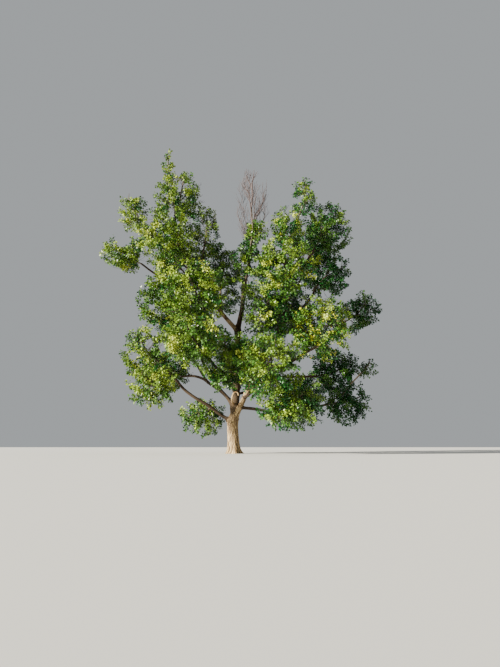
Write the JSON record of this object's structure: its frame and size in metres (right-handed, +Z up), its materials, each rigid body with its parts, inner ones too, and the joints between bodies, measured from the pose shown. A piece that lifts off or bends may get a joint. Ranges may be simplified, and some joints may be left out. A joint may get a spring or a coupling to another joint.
{
  "type": "cottonwood tree",
  "caption": "Tall, broad-crowned deciduous tree in summer leaf: low-forked furrowed trunk, spreading boughs with open leafy masses, and a dead bare top between them.",
  "frame": {"origin": "middle of the flat cut under the trunk, at ground level", "axes": "+Z up; the picture looks along +Y, so +X is its right and -Y faces its camera"},
  "size_m": [20.2368, 15.4717, 22.6037],
  "materials": {
    "bark": "matte",
    "dead_wood": "matte",
    "foliage": "satin"
  },
  "bodies": {
    "root": {"trunk": "bark", "left_limb": "bark", "left_upper_limb": "bark", "left_leader": "bark", "right_leader": "bark", "left_front_limb": "bark", "back_limb": "bark", "back_left_limb": "bark", "left_heart_bough": "bark", "back_right_bough": "bark", "right_low_limb": "bark", "right_front_limb": "bark", "right_low_bough": "bark", "right_out_limb": "bark", "right_heart_bough": "bark", "right_shoulder_bough": "bark", "back_right_high_bough": "bark", "right_crest_bough": "bark", "right_yellow_bough": "bark", "left_flank_bough": "bark", "left_arm_bough": "bark", "left_shoulder_bough": "bark", "back_left_high_bough": "bark", "back_right_low_bough": "bark", "foliage_left_spire": "foliage", "foliage_left_crest": "foliage", "foliage_left_shoulder": "foliage", "foliage_left_arm": "foliage", "foliage_left_high": "foliage", "foliage_left_inner": "foliage", "foliage_left_flank": "foliage", "foliage_left_heart": "foliage", "foliage_left_lobe": "foliage", "foliage_left_bank": "foliage", "foliage_left_skirt": "foliage", "foliage_left_centre": "foliage", "foliage_left_hanging": "foliage", "foliage_left_core": "foliage", "foliage_centre_heart": "foliage", "foliage_centre_column": "foliage", "dead_top": "dead_wood", "foliage_centre_front": "foliage", "foliage_right_spire": "foliage", "foliage_right_crest_left": "foliage", "foliage_right_crest_right": "foliage", "foliage_right_heart": "foliage", "foliage_right_shoulder": "foliage", "foliage_right_arm": "foliage", "foliage_right_yellow": "foliage", "foliage_right_sprig": "foliage", "foliage_right_low": "foliage", "foliage_right_low_out": "foliage", "foliage_right_skirt": "foliage", "foliage_right_front": "foliage", "foliage_back_left_low": "foliage", "foliage_back_left_high": "foliage", "foliage_back_centre_low": "foliage", "foliage_back_right_low": "foliage", "foliage_back_right_mid": "foliage", "foliage_back_right_high": "foliage"}
  },
  "joints": []
}
